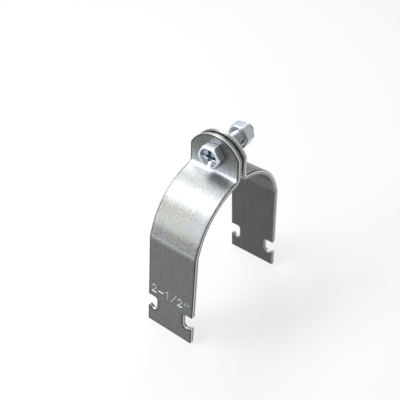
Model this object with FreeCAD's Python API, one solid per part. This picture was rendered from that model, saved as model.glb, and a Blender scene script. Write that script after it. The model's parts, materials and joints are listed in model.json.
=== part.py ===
"""Strut pipe clamp for 2-1/2 inch steel pipe, in millimetres.

Two bent steel straps wrap the pipe from both sides. Their notched feet hook
under the lips of a strut channel, and one screw with a nut pulls the two ears
together. The screw runs along X, the pipe along Y, and the feet stand on Z = 0.
"""
import FreeCAD
import Part
import math
import os

from FreeCAD import Vector

# Pipe and strut channel that the clamp fits
pipe_diameter = 73.0
seat_clearance = 0.1
strut_lip_depth = 7.1

# Strap sheet
strap_width = 31.75
strap_thickness = 2.66
ear_gap = 2.0
fold_radius = 2.2
crease_bend = 18.0
crease_radius = 2.0
leg_splay = 4.0
edge_bevel = 0.3

# Ear
screw_above_strap = 11.0
ear_top_above_screw = 11.0
ear_crown_rise = 10.0
ear_corner_radius = 0.8
screw_hole_clearance = 0.76

# Foot with its two strut notches
tab_height = 9.5
notch_height = 10.0
neck_width = 19.0
notch_top_radius = 1.6
notch_bottom_radius = 2.2
hook_rise = 2.0

# Screw, 5/16-18 by 1-1/4, with an indented hex head, a cross recess and a slot
screw_diameter = 7.94
screw_length = 31.75
screw_point_chamfer = 1.0
under_head_radius = 0.3
head_play = 0.1
head_across_flats = 12.7
head_height = 5.3
head_corner_chamfer = 0.5
head_rim = 0.45
hex_chamfer_angle = 30.0
hex_turn = 5.0
dish_depth = 1.3
dish_draft = 0.7
recess_span = 7.6
recess_arm_width = 2.1
recess_depth = 2.9
recess_bottom_share = 0.45
slot_width = 1.6
slot_depth = 1.1

# Nut
nut_across_flats = 12.7
nut_thickness = 6.75
nut_corner_chamfer = 0.45
screw_past_nut = 4.3
thread_clearance = 0.05
bore_countersink = 0.5

# Places that follow from the sizes above
pipe_radius = pipe_diameter / 2
seat_radius = pipe_radius + seat_clearance
back_radius = seat_radius + strap_thickness
ear_inner_x = ear_gap / 2
ear_outer_x = ear_inner_x + strap_thickness
head_seat_x = -ear_outer_x - head_play
screw_end_x = head_seat_x + screw_length
pipe_z = tab_height + strut_lip_depth + pipe_radius
pipe_centre = Vector(0, 0, pipe_z)
screw_z = pipe_z + back_radius + screw_above_strap
ear_top_z = screw_z + ear_top_above_screw
splay = math.radians(leg_splay)
leg_up = Vector(-math.sin(splay), 0, math.cos(splay))
leg_out = Vector(math.cos(splay), 0, math.sin(splay))
half_bend = math.radians(crease_bend) / 2
seat_end = splay + 2 * half_bend
flange_out = Vector(math.cos(seat_end), 0, math.sin(seat_end))
to_crease = Vector(math.cos(splay + half_bend), 0, math.sin(splay + half_bend))
crease_centre = pipe_centre + to_crease * ((seat_radius - crease_radius) / math.cos(half_bend))
leg_top = crease_centre + leg_out * crease_radius
foot = leg_top - leg_up * (leg_top.z / math.cos(splay))

# How far cutting shapes run past what they cut, and the least angle of a sharp edge
overcut = 1.0
tolerance = 0.001
sharp_angle = 10.0


def line(start, end):
    """Straight edge between two points."""
    return Part.LineSegment(start, end).toShape()


def arc(centre, start, end):
    """Circular edge from start to end, the short way round centre."""
    radius = (start - centre).Length
    middle = centre + ((start + end) * 0.5 - centre).normalize() * radius
    return Part.Arc(start, middle, end).toShape()


def extruded(outline, travel):
    """Solid swept by a closed outline, given as edges in order."""
    return Part.Face(Part.Wire(outline)).extrude(travel)


def strap_sides():
    """Edges of the strap's two skins in side view, from ear top to foot.

    Each skin is the ear, the fold at its foot, the seat of the pipe, a short
    flange, the crease and the straight leg. Flange and leg both lie along
    tangents of the seat, so neither reaches into the pipe.
    """
    fold_x = ear_outer_x + fold_radius
    fold_reach = back_radius + fold_radius
    fold_centre = Vector(fold_x, 0, pipe_z + math.sqrt(fold_reach**2 - fold_x**2))
    to_fold = (fold_centre - pipe_centre).normalize()
    sides = []
    for depth in (0, strap_thickness):
        ear_top = Vector(ear_inner_x + depth, 0, ear_top_z)
        ear_foot = Vector(ear_inner_x + depth, 0, fold_centre.z)
        seat_top = pipe_centre + to_fold * (seat_radius + depth)
        seat_foot = pipe_centre + flange_out * (seat_radius + depth)
        flange_foot = crease_centre + flange_out * (crease_radius + depth)
        leg_start = leg_top + leg_out * depth
        sides.append([
            line(ear_top, ear_foot),
            arc(fold_centre, ear_foot, seat_top),
            arc(pipe_centre, seat_top, seat_foot),
            line(seat_foot, flange_foot),
            arc(crease_centre, flange_foot, leg_start),
            line(leg_start, foot + leg_out * depth),
        ])
    return sides


def bent_blank():
    """Plain strip bent to shape, full width from ear top to foot."""
    grip, back = strap_sides()
    ear_end = line(grip[0].Vertexes[0].Point, back[0].Vertexes[0].Point)
    foot_end = line(grip[-1].Vertexes[1].Point, back[-1].Vertexes[1].Point)
    outline = grip + [foot_end] + back[::-1] + [ear_end]
    strip = extruded(outline, Vector(0, strap_width, 0))
    strip.translate(Vector(0, -strap_width / 2, 0))
    return strip


def ear_waste():
    """What the punch takes off round the crowned top of the ear."""
    half = strap_width / 2
    crown_radius = (half**2 + ear_crown_rise**2) / (2 * ear_crown_rise)
    crown_centre = Vector(0, 0, ear_top_z - crown_radius)
    corner_y = half - ear_corner_radius
    corner_reach = crown_radius - ear_corner_radius
    corner_z = crown_centre.z + math.sqrt(corner_reach**2 - corner_y**2)
    corners = {}
    for side in (-1, 1):
        centre = Vector(0, side * corner_y, corner_z)
        on_crown = crown_centre + (centre - crown_centre).normalize() * crown_radius
        corners[side] = (centre, Vector(0, side * half, corner_z), on_crown)
    left_centre, left_side, left_crown = corners[-1]
    right_centre, right_side, right_crown = corners[1]
    across = Vector(ear_outer_x + overcut, 0, 0)
    crown = extruded([
        line(left_side, right_side),
        arc(right_centre, right_side, right_crown),
        arc(crown_centre, right_crown, left_crown),
        arc(left_centre, left_crown, left_side),
    ], across)
    block = Part.makeBox(across.x, strap_width + 2 * overcut, ear_top_z + overcut - corner_z,
                         Vector(0, -half - overcut, corner_z))
    return block.cut(crown)


def screw_hole():
    """Clearance hole through the ear."""
    radius = (screw_diameter + screw_hole_clearance) / 2
    return Part.makeCylinder(radius, ear_outer_x + overcut, Vector(0, 0, screw_z), Vector(1, 0, 0))


def notch_waste():
    """One notch: square shoulder at the top, hooked curve at the bottom."""
    wall = neck_width / 2
    edge = strap_width / 2
    root = wall + notch_bottom_radius
    shoulder = tab_height + notch_height
    tip = tab_height + hook_rise
    hook_run = edge - root
    hook_radius = (hook_run**2 + hook_rise**2) / (2 * hook_rise)

    def at(y, height):
        """Point beside the leg, on the pipe's side of it."""
        return foot + leg_up * height - leg_out * overcut + Vector(0, y, 0)

    shoulder_inner = at(wall + notch_top_radius, shoulder)
    wall_top = at(wall, shoulder - notch_top_radius)
    wall_bottom = at(wall, tab_height + notch_bottom_radius)
    hook_root = at(root, tab_height)
    outline = [
        line(at(edge + overcut, shoulder), shoulder_inner),
        arc(at(wall + notch_top_radius, shoulder - notch_top_radius), shoulder_inner, wall_top),
        line(wall_top, wall_bottom),
        arc(at(root, tab_height + notch_bottom_radius), wall_bottom, hook_root),
        arc(at(root, tab_height + hook_radius), hook_root, at(edge, tip)),
        line(at(edge, tip), at(edge + overcut, tip)),
        line(at(edge + overcut, tip), at(edge + overcut, shoulder)),
    ]
    return extruded(outline, leg_out * (strap_thickness + 2 * overcut))


def bevelled_edges(strap):
    """Sheared edges of the back skin, which the punch breaks."""
    grip_skin = Part.Wire(strap_sides()[0]).extrude(Vector(0, strap_width, 0))
    grip_skin.translate(Vector(0, -strap_width / 2, 0))

    def on_back(edge):
        """Whether the edge lies a full thickness away from the pipe."""
        first, last = edge.ParameterRange
        points = [edge.valueAt(first + (last - first) * share) for share in (0.0, 0.5, 1.0)]
        depths = [grip_skin.distToShape(Part.Vertex(point))[0] for point in points]
        return min(depths) > strap_thickness - tolerance

    def is_sharp(edge):
        """Whether the faces on both sides of the edge meet at an angle."""
        middle = edge.valueAt(sum(edge.ParameterRange) / 2)
        normals = []
        for face in strap.ancestorsOfType(edge, Part.Face):
            normals.append(face.normalAt(*face.Surface.parameter(middle)))
        return normals[0].getAngle(normals[1]) > math.radians(sharp_angle)

    return [edge for edge in strap.Edges if on_back(edge) and is_sharp(edge)]


def strap_half():
    """Strap on the nut side: bent, crowned, drilled, notched, edges broken."""
    notch = notch_waste()
    strap = bent_blank().cut(ear_waste()).cut(screw_hole())
    strap = strap.cut(notch).cut(notch.mirror(Vector(), Vector(0, 1, 0)))
    return strap.makeChamfer(edge_bevel, bevelled_edges(strap))


def turned(profile):
    """Solid turned about the screw axis from (x, radius) pairs."""
    points = [Vector(x, 0, screw_z + radius) for x, radius in profile]
    face = Part.Face(Part.makePolygon(points + points[:1]))
    return face.revolve(Vector(0, 0, screw_z), Vector(1, 0, 0), 360)


def hex_bar(start_x, end_x, across_flats, chamfer, both_ends):
    """Hexagonal bar on the screw axis, its corners turned off at the ends."""
    corner = across_flats / math.sqrt(3)
    points = []
    for step in range(6):
        angle = math.radians(hex_turn + 60 * step)
        points.append(Vector(start_x, -corner * math.cos(angle), screw_z + corner * math.sin(angle)))
    bar = Part.Face(Part.makePolygon(points + points[:1])).extrude(Vector(end_x - start_x, 0, 0))
    face = across_flats / 2 - chamfer
    outside = corner + overcut
    slope = (outside - face) * math.tan(math.radians(hex_chamfer_angle))
    profile = [(start_x, 0), (start_x, face), (start_x + slope, outside)]
    if both_ends:
        profile += [(end_x - slope, outside), (end_x, face)]
    else:
        profile.append((end_x, outside))
    profile.append((end_x, 0))
    return bar.common(turned(profile))


def cross_outline(floor_x, depth):
    """Closed cross of the driver recess, narrower the deeper it goes."""
    share = 1 - (1 - recess_bottom_share) * depth / recess_depth
    reach = recess_span / 2 * share
    arm = recess_arm_width / 2 * share
    points = []
    for quarter in range(4):
        angle = math.radians(90 * quarter)
        for along, aside in ((reach, -arm), (reach, arm), (arm, arm)):
            y = along * math.cos(angle) - aside * math.sin(angle)
            z = along * math.sin(angle) + aside * math.cos(angle)
            points.append(Vector(floor_x + depth, y, screw_z + z))
    return Part.makePolygon(points + points[:1])


def driver_slot(floor_x, reach):
    """Straight slot across the dish, level and as long as the dish is wide."""
    start_x = floor_x - overcut
    end_x = floor_x + slot_depth
    bar = Part.makeBox(end_x - start_x, 2 * reach, slot_width,
                       Vector(start_x, -reach, screw_z - slot_width / 2))
    return bar.common(turned([(start_x, 0), (start_x, reach), (end_x, reach), (end_x, 0)]))


def screw_head():
    """Hex head with a dished face, and a cross recess and a slot in the dish."""
    face_x = head_seat_x - head_height
    floor_x = face_x + dish_depth
    rim_radius = head_across_flats / 2 - head_corner_chamfer - head_rim
    floor_radius = rim_radius - dish_draft
    dish = turned([
        (face_x - overcut, 0),
        (face_x - overcut, rim_radius),
        (face_x, rim_radius),
        (floor_x, floor_radius),
        (floor_x, 0),
    ])
    recess_ends = [cross_outline(floor_x, depth) for depth in (-overcut, recess_depth)]
    recess = Part.makeLoft(recess_ends, True)
    head = hex_bar(face_x, head_seat_x, head_across_flats, head_corner_chamfer, False)
    return head.cut(dish).cut(recess).cut(driver_slot(floor_x, floor_radius))


def machine_screw():
    """Screw seated on the screw-side ear, pointing through both holes."""
    radius = screw_diameter / 2
    shank = turned([
        (head_seat_x, 0),
        (head_seat_x, radius + under_head_radius),
        (head_seat_x + under_head_radius, radius),
        (screw_end_x - screw_point_chamfer, radius),
        (screw_end_x, radius - screw_point_chamfer),
        (screw_end_x, 0),
    ])
    return screw_head().fuse(shank).removeSplitter()


def hex_nut():
    """Nut run on near the end of the screw."""
    end_x = screw_end_x - screw_past_nut
    start_x = end_x - nut_thickness
    bore = screw_diameter / 2 + thread_clearance
    mouth = bore + bore_countersink
    threaded_hole = turned([
        (start_x - overcut, 0),
        (start_x - overcut, mouth),
        (start_x, mouth),
        (start_x + bore_countersink, bore),
        (end_x - bore_countersink, bore),
        (end_x, mouth),
        (end_x + overcut, mouth),
        (end_x + overcut, 0),
    ])
    return hex_bar(start_x, end_x, nut_across_flats, nut_corner_chamfer, True).cut(threaded_hole)


def main():
    """Write one STEP file for each piece."""
    nut_side = strap_half()
    pieces = {
        "strap_half_screw_side": nut_side.mirror(Vector(), Vector(1, 0, 0)),
        "strap_half_nut_side": nut_side,
        "machine_screw": machine_screw(),
        "hex_nut": hex_nut(),
    }
    os.makedirs("parts", exist_ok=True)
    for name, shape in pieces.items():
        shape.exportStep(f"parts/{name}.step")
        print(name, len(shape.Solids), shape.isValid(), round(shape.Volume, 1))


main()
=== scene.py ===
"""Looks of a strut pipe clamp, dressed round its packed construction model.

Two bent, zinc-plated steel straps, a hex-head screw and a nut. Each piece is
worked out again as a smooth numpy surface where the construction model's solid
lies, with what the solids leave out: the sheared edges, the stamped pipe size
and the screw thread. Lengths are in millimetres until a mesh is written.
"""

import json
import logging
import math
from dataclasses import dataclass, field
from enum import Enum

import bpy
import numpy as np
from mathutils import Matrix, Vector
from mathutils.geometry import delaunay_2d_cdt


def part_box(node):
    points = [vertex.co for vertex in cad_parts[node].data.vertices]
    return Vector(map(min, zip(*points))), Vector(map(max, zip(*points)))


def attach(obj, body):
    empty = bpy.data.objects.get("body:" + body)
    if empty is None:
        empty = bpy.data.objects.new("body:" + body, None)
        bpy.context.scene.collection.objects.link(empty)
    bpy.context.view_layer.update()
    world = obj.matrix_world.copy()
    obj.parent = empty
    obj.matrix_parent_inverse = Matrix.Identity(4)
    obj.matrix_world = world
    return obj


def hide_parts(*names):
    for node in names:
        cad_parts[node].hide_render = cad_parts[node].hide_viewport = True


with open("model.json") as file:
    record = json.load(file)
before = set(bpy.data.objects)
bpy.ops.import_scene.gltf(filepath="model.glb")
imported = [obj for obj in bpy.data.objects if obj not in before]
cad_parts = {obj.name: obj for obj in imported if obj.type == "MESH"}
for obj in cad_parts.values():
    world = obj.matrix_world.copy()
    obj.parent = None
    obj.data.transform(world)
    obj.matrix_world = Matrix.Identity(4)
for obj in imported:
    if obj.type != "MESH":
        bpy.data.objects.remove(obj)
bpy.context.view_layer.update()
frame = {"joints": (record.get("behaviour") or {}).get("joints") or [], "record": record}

MM = 0.001
# Millimetres of flat sheet in one unit of the straps' UV map
SHEET_UNIT = 100.0
# Points compared with all others at a time, which bounds the memory that takes
BLOCK = 1500
# A noise node's values lie in this span nearly everywhere
NOISE_SPAN = {"From Min": 0.3, "From Max": 0.7}
# Socket numbers of a Mix node, whose sockets for numbers and colours share their names
SHARE, NUMBER_A, NUMBER_B, COLOUR_A, COLOUR_B = 0, 2, 3, 6, 7
NUMBER_OUT, COLOUR_OUT = 0, 2
LOG = logging.getLogger("clamp")


class Side(Enum):
    """Which way a strap half lies from the pipe, as the sign of its X."""

    SCREW = -1
    NUT = 1


class Region(Enum):
    """Material slots of a strap, for the parts of its surface made in different ways."""

    SKIN = 0
    SHEARED = 1


def linear(hex_colour: str) -> tuple[float, float, float, float]:
    """Turn an sRGB colour into a linear one by the sRGB formula.

    Args:
        hex_colour: six hex digits, such as 8f9192.

    Returns:
        Linear red, green and blue, and an alpha of 1.
    """
    channels = [int(hex_colour[i:i + 2], 16) / 255 for i in (0, 2, 4)]
    channels = [c / 12.92 if c <= 0.04045 else ((c + 0.055) / 1.055) ** 2.4 for c in channels]
    return (*channels, 1.0)


def add_node(tree: bpy.types.NodeTree, kind: str, settings: dict | None = None,
             links: dict | None = None) -> bpy.types.Node:
    """Add one shader node with its settings and links.

    Args:
        tree: node tree that the node goes into.
        kind: Blender's name for the node type.
        settings: values by attribute name, or else by input name or number.
        links: output sockets by the input name or number that they feed.

    Returns:
        The new node.
    """
    node = tree.nodes.new(kind)
    for key, value in (settings or {}).items():
        if isinstance(key, str) and hasattr(node, key):
            setattr(node, key, value)
        else:
            node.inputs[key].default_value = value
    for key, socket in (links or {}).items():
        tree.links.new(socket, node.inputs[key])
    return node


def circle_arc(centre: tuple[float, float], radius: float, start: float, end: float,
               step: float = 0.1) -> np.ndarray:
    """Points along an arc: centre + radius (cos a, sin a), with a from start to end.

    Args:
        centre: centre of the circle.
        radius: its radius.
        start: first angle, in radians.
        end: last angle, in radians.
        step: about how far apart the points lie.

    Returns:
        An array of shape (points, 2).
    """
    count = max(3, math.ceil(abs(end - start) * radius / step))
    angles = np.linspace(start, end, count)
    return np.array(centre) + radius * np.stack([np.cos(angles), np.sin(angles)], 1)


def run_along(line: np.ndarray) -> np.ndarray:
    """Distance of each corner of a line from the line's start, along the line."""
    return np.concatenate([[0.0], np.cumsum(np.linalg.norm(np.diff(line, axis=0), axis=1))])


def points_on(line: np.ndarray, wanted: np.ndarray) -> np.ndarray:
    """Points on a flat line at the wanted distances from its start."""
    run = run_along(line)
    return np.stack([np.interp(wanted, run, line[:, k]) for k in (0, 1)], 1)


def evenly_spaced(loop: np.ndarray, spacing: float) -> np.ndarray:
    """Resample a closed loop at equal steps along its length.

    Args:
        loop: corner points, shape (points, 2), without the first repeated.
        spacing: wished distance between neighbours.

    Returns:
        The resampled loop, with an even number of points.
    """
    closed = np.vstack([loop, loop[:1]])
    length = run_along(closed)[-1]
    count = 2 * round(length / spacing / 2)
    return points_on(closed, np.arange(count) * length / count)


def inside(loop: np.ndarray, points: np.ndarray) -> np.ndarray:
    """Tell which points a closed loop surrounds.

    A level line from the point to the right crosses the loop an odd number of
    times if the loop surrounds it.

    Args:
        loop: corner points, shape (corners, 2).
        points: points to test, shape (points, 2).

    Returns:
        True for each point that lies inside.
    """
    start, end = loop[None], np.roll(loop, -1, 0)[None]
    rise = end[..., 1] - start[..., 1]
    slope = (end[..., 0] - start[..., 0]) / np.where(rise == 0, 1, rise)
    found = []
    for block in np.array_split(points, max(1, len(points) // BLOCK)):
        x, y = block[:, :1], block[:, 1:]
        spans = (start[..., 1] > y) != (end[..., 1] > y)
        crossing = start[..., 0] + (y - start[..., 1]) * slope
        found.append((spans & (crossing > x)).sum(1) % 2 == 1)
    return np.concatenate(found)


def nearest_distance(points: np.ndarray, others: np.ndarray) -> np.ndarray:
    """Distance from each point to the nearest of some others.

    Args:
        points: points to measure from, shape (points, 2).
        others: points to measure to, shape (others, 2).

    Returns:
        One distance for each point.
    """
    blocks = np.array_split(points, max(1, len(points) // BLOCK))
    squares = [((block[:, None] - others[None]) ** 2).sum(-1).min(1) for block in blocks]
    return np.concatenate(squares) ** 0.5


def averaged(values: np.ndarray, passes: int, axis: int) -> np.ndarray:
    """Soften closed rows of values: each becomes a quarter, half, quarter mean of three.

    Args:
        values: the values, which wrap round along the axis.
        passes: how often the mean is taken.
        axis: axis along which neighbours are mixed.

    Returns:
        The softened values.
    """
    for _ in range(passes):
        values = (np.roll(values, 1, axis) + 2 * values + np.roll(values, -1, axis)) / 4
    return values


def write_piece(name: str, points: np.ndarray, faces: list[np.ndarray],
                groups: list[int] | None = None,
                shine: np.ndarray | None = None) -> bpy.types.Object:
    """Make a smooth mesh object from points in millimetres.

    Args:
        name: name of the object and its mesh.
        points: vertex positions, shape (vertices, 3).
        faces: arrays of vertex numbers, shape (faces, 3) or (faces, 4) each.
        groups: material slot number of each array in faces.
        shine: for each vertex, from -1 for dull zinc and painted shade to 1 for burnished zinc and painted
            highlights.

    Returns:
        The object, linked into the scene.
    """
    corners = np.concatenate([block.ravel() for block in faces]).astype(np.int32)
    sizes = np.concatenate([np.full(len(block), block.shape[1]) for block in faces])
    starts = np.concatenate([[0], np.cumsum(sizes)[:-1]]).astype(np.int32)
    slots = np.concatenate([np.full(len(b), g) for b, g in zip(faces, groups or [0] * len(faces))])
    mesh = bpy.data.meshes.new(name)
    mesh.vertices.add(len(points))
    mesh.vertices.foreach_set("co", (points * MM).astype(np.float32).ravel())
    mesh.loops.add(len(corners))
    mesh.loops.foreach_set("vertex_index", corners)
    mesh.polygons.add(len(sizes))
    mesh.polygons.foreach_set("loop_start", starts)
    mesh.polygons.foreach_set("material_index", slots.astype(np.int32))
    mesh.polygons.foreach_set("use_smooth", np.ones(len(sizes), bool))
    if shine is not None:
        worked = mesh.attributes.new("shine", "FLOAT", "POINT")
        worked.data.foreach_set("value", shine.astype(np.float32))
    mesh.update()
    mesh.validate()
    piece = bpy.data.objects.new(name, mesh)
    bpy.context.scene.collection.objects.link(piece)
    LOG.info("%s: %d vertices, %d faces", name, len(mesh.vertices), len(mesh.polygons))
    return piece


def ring_quads(rings: int, around: int, first: int = 0, closed: bool = False) -> np.ndarray:
    """Quads between neighbouring rings of points that are numbered ring by ring.

    Args:
        rings: number of rings.
        around: points in each ring.
        first: number of the first point of the first ring.
        closed: whether the last ring joins the first.

    Returns:
        Vertex numbers, shape (quads, 4).
    """
    ring = np.arange(rings if closed else rings - 1)[:, None]
    step = np.arange(around)[None, :]
    here, there = ring * around, (ring + 1) % rings * around
    after = (step + 1) % around
    quads = np.stack([here + step, there + step, there + after, here + after], -1)
    return quads.reshape(-1, 4) + first


@dataclass(frozen=True)
class ZincPlate:
    """Electro-zinc-plated steel with a clear blue passivation.

    The plating follows the steel under it, so a rolled sheet looks satin and
    slightly mottled, and a cold-formed screw looks bright. The passivation
    film tints it, from olive where it is thick to lilac-blue where it is thin.
    """

    name: str
    colour: str
    olive: str
    lilac: str
    burnished: str
    dull: str
    roughness: float
    roughness_spread: float
    grain: float
    grain_shade: tuple[float, float]
    bump: float
    rolled: bool = False
    cloud: float = 14.0
    tint_span: tuple[float, float] = (0.36, 0.64)
    scratch_blur: float = 0.25
    line_gap: float = 1.0
    line_length: float = 25.0
    line_shade: tuple[float, float] = (0.9, 1.1)
    line_bump_share: float = 0.35

    def tint(self, tree: bpy.types.NodeTree, in_mm: bpy.types.NodeSocket) -> bpy.types.NodeSocket:
        """Tint the zinc in clouds, as the film on it varies.

        Args:
            tree: the material's node tree.
            in_mm: socket of the place on the piece, in millimetres.

        Returns:
            Socket of the tinted colour.
        """
        # The clouds come out 10 to 20 mm wide
        clouds = add_node(tree, "ShaderNodeTexNoise",
                          {"Scale": 1 / self.cloud, "Detail": 2.0, "Roughness": 0.5}, {"Vector": in_mm})
        tint = add_node(tree, "ShaderNodeValToRGB", links={"Fac": clouds.outputs["Fac"]})
        ramp = tint.color_ramp
        for stop, position, colour in zip(ramp.elements, self.tint_span, (self.olive, self.lilac)):
            stop.position = position
            stop.color = linear(colour)
        middle = ramp.elements.new(0.5)
        middle.color = linear(self.colour)
        return tint.outputs["Color"]

    def tooled_and_painted_light(self, tree: bpy.types.NodeTree,
               tint: bpy.types.NodeSocket) -> tuple[bpy.types.NodeSocket, bpy.types.NodeSocket]:
        """Change the colour where a tool worked the zinc, and paint light and shade.

        Where a die worked it the zinc is burnished, and a positive shine paints highlights with the same
        colour. A negative shine dulls the zinc and paints shade, as in recesses.

        Args:
            tree: the material's node tree.
            tint: socket of the untouched zinc's colour.

        Returns:
            Sockets of the changed colour and of the share of burnish and painted highlight.
        """
        shine = add_node(tree, "ShaderNodeAttribute", {"attribute_name": "shine"}).outputs["Fac"]
        burnish_and_painted_highlight = add_node(tree, "ShaderNodeClamp", links={"Value": shine}).outputs[0]
        dull_and_painted_shade = add_node(tree, "ShaderNodeMath", {"operation": "MULTIPLY", "use_clamp": True, 1: -1.0},
                        {0: shine}).outputs[0]
        worked = tint
        # Positive shine mixes in the burnished colour, for burnish and painted highlights; negative shine
        # mixes in the dull colour, for dull zinc and painted shade
        for share, colour in ((burnish_and_painted_highlight, self.burnished), (dull_and_painted_shade, self.dull)):
            worked = add_node(tree, "ShaderNodeMix", {"data_type": "RGBA", COLOUR_B: linear(colour)},
                              {SHARE: share, COLOUR_A: worked}).outputs[COLOUR_OUT]
        return worked, burnish_and_painted_highlight

    def mill_lines(self, tree: bpy.types.NodeTree) -> bpy.types.NodeSocket:
        """Streak the sheet along the strip, as the mill's rolls did.

        Real lines lie closer together. They are drawn as coarse as they need
        to show.

        Args:
            tree: the material's node tree.

        Returns:
            Socket of the lines' height.
        """
        sheet = add_node(tree, "ShaderNodeUVMap", {"uv_map": "sheet"})
        scale = (SHEET_UNIT / self.line_gap, SHEET_UNIT / self.line_length, 1)
        stretched = add_node(tree, "ShaderNodeMapping", {"Scale": scale}, {"Vector": sheet.outputs["UV"]})
        return add_node(tree, "ShaderNodeTexNoise", {"Scale": 1.0, "Detail": 2.0},
                        {"Vector": stretched.outputs[0]}).outputs["Fac"]

    def build(self) -> bpy.types.Material:
        """Make the material.

        Returns:
            The material, with its tint, shade, gloss and bump as nodes.
        """
        material = bpy.data.materials.new(self.name)
        material.use_nodes = True
        tree = material.node_tree
        tree.nodes.clear()
        place = add_node(tree, "ShaderNodeTexCoord")
        # Object coordinates are metres, and the sizes of the patterns are in millimetres
        in_mm = add_node(tree, "ShaderNodeMapping", {"Scale": (1 / MM, 1 / MM, 1 / MM)},
                         {"Vector": place.outputs["Object"]}).outputs[0]
        worked, burnish_and_painted_highlight = self.tooled_and_painted_light(tree, self.tint(tree, in_mm))
        # Crystals of zinc show as a grain, drawn as coarse as one pixel can show
        grain = add_node(tree, "ShaderNodeTexNoise",
                         {"Scale": 1 / self.grain, "Detail": 3.0, "Roughness": 0.65},
                         {"Vector": in_mm}).outputs["Fac"]
        darkest, lightest = self.grain_shade
        shade = add_node(tree, "ShaderNodeMapRange",
                         {**NOISE_SPAN, "To Min": darkest, "To Max": lightest},
                         {"Value": grain}).outputs["Result"]
        height = grain
        if self.rolled:
            lines = self.mill_lines(tree)
            darkest, lightest = self.line_shade
            streak = add_node(tree, "ShaderNodeMapRange",
                              {**NOISE_SPAN, "To Min": darkest, "To Max": lightest}, {"Value": lines})
            shade = add_node(tree, "ShaderNodeMath", {"operation": "MULTIPLY"},
                             {0: shade, 1: streak.outputs["Result"]}).outputs[0]
            height = add_node(tree, "ShaderNodeMix", {"data_type": "FLOAT", SHARE: self.line_bump_share},
                              {NUMBER_A: height, NUMBER_B: lines}).outputs[NUMBER_OUT]
        colour = add_node(tree, "ShaderNodeMix",
                          {"data_type": "RGBA", "blend_type": "MULTIPLY", SHARE: 1.0},
                          {COLOUR_A: worked, COLOUR_B: shade})
        satin = add_node(tree, "ShaderNodeMapRange",
                         {**NOISE_SPAN, "To Min": self.roughness - self.roughness_spread,
                          "To Max": self.roughness + self.roughness_spread}, {"Value": grain})
        # A die wipes the zinc bright but leaves fine scratches, which blur what it mirrors. Painted
        # highlights get the same roughness
        rough = add_node(tree, "ShaderNodeMath", {"operation": "MULTIPLY_ADD", 1: self.scratch_blur},
                         {0: burnish_and_painted_highlight, 2: satin.outputs["Result"]})
        bump = add_node(tree, "ShaderNodeBump", {"Strength": 1.0, "Distance": self.bump * MM},
                        {"Height": height})
        shader = add_node(tree, "ShaderNodeBsdfPrincipled", {"Metallic": 1.0},
                          {"Base Color": colour.outputs[COLOUR_OUT], "Roughness": rough.outputs[0],
                           "Normal": bump.outputs["Normal"]})
        add_node(tree, "ShaderNodeOutputMaterial", links={"Surface": shader.outputs["BSDF"]})
        return material


# Rolled sheet looks satin, with a fine grain and faint mill lines. It is darker than bare zinc, as the
# legs are in the photo
# The sheet's dark colour is painted shade, standing in for dark surroundings mirrored in the legs. Its
# burnished colour paints highlights over the fold and the crease, light in the gap between the ears and
# glints in the stamped size; its dull colour paints shade on the grip skin and dulls the punched rollover.
SHEET_ZINC = ZincPlate("zinc_plated_sheet_satin", "6e706e", "6f6f6c", "6e7074",
                       burnished="ccd0d6", dull="343635", roughness=0.30, roughness_spread=0.06,
                       grain=1.0, grain_shade=(0.74, 1.24), bump=0.12, rolled=True)
# A punched edge is bright where the punch sheared it, and darker where it tore
EDGE_ZINC = ZincPlate("zinc_plated_sheared_edge", "d2d4d3", "d2d2ce", "d1d3d7",
                      burnished="eeeeec", dull="343635", roughness=0.36, roughness_spread=0.06,
                      grain=0.5, grain_shade=(0.8, 1.12), bump=0.04)
# Cold-formed wire is smooth, so screw and nut mirror more sharply than the sheet. Their film is bluer
# Its burnished colour paints highlights on the head's rim and flats, the thread's crests and the nut's
# faces; its dull colour paints shade in the dish, the recess, the thread's roots and the nut's bore.
FASTENER_ZINC = ZincPlate("zinc_plated_cold_formed_bright", "b3b9bf", "b6b8b8", "adb6c1",
                          burnished="e6ecf2", dull="4e6074", roughness=0.22, roughness_spread=0.03,
                          grain=1.2, grain_shade=(0.93, 1.05), bump=0.003)


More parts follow.
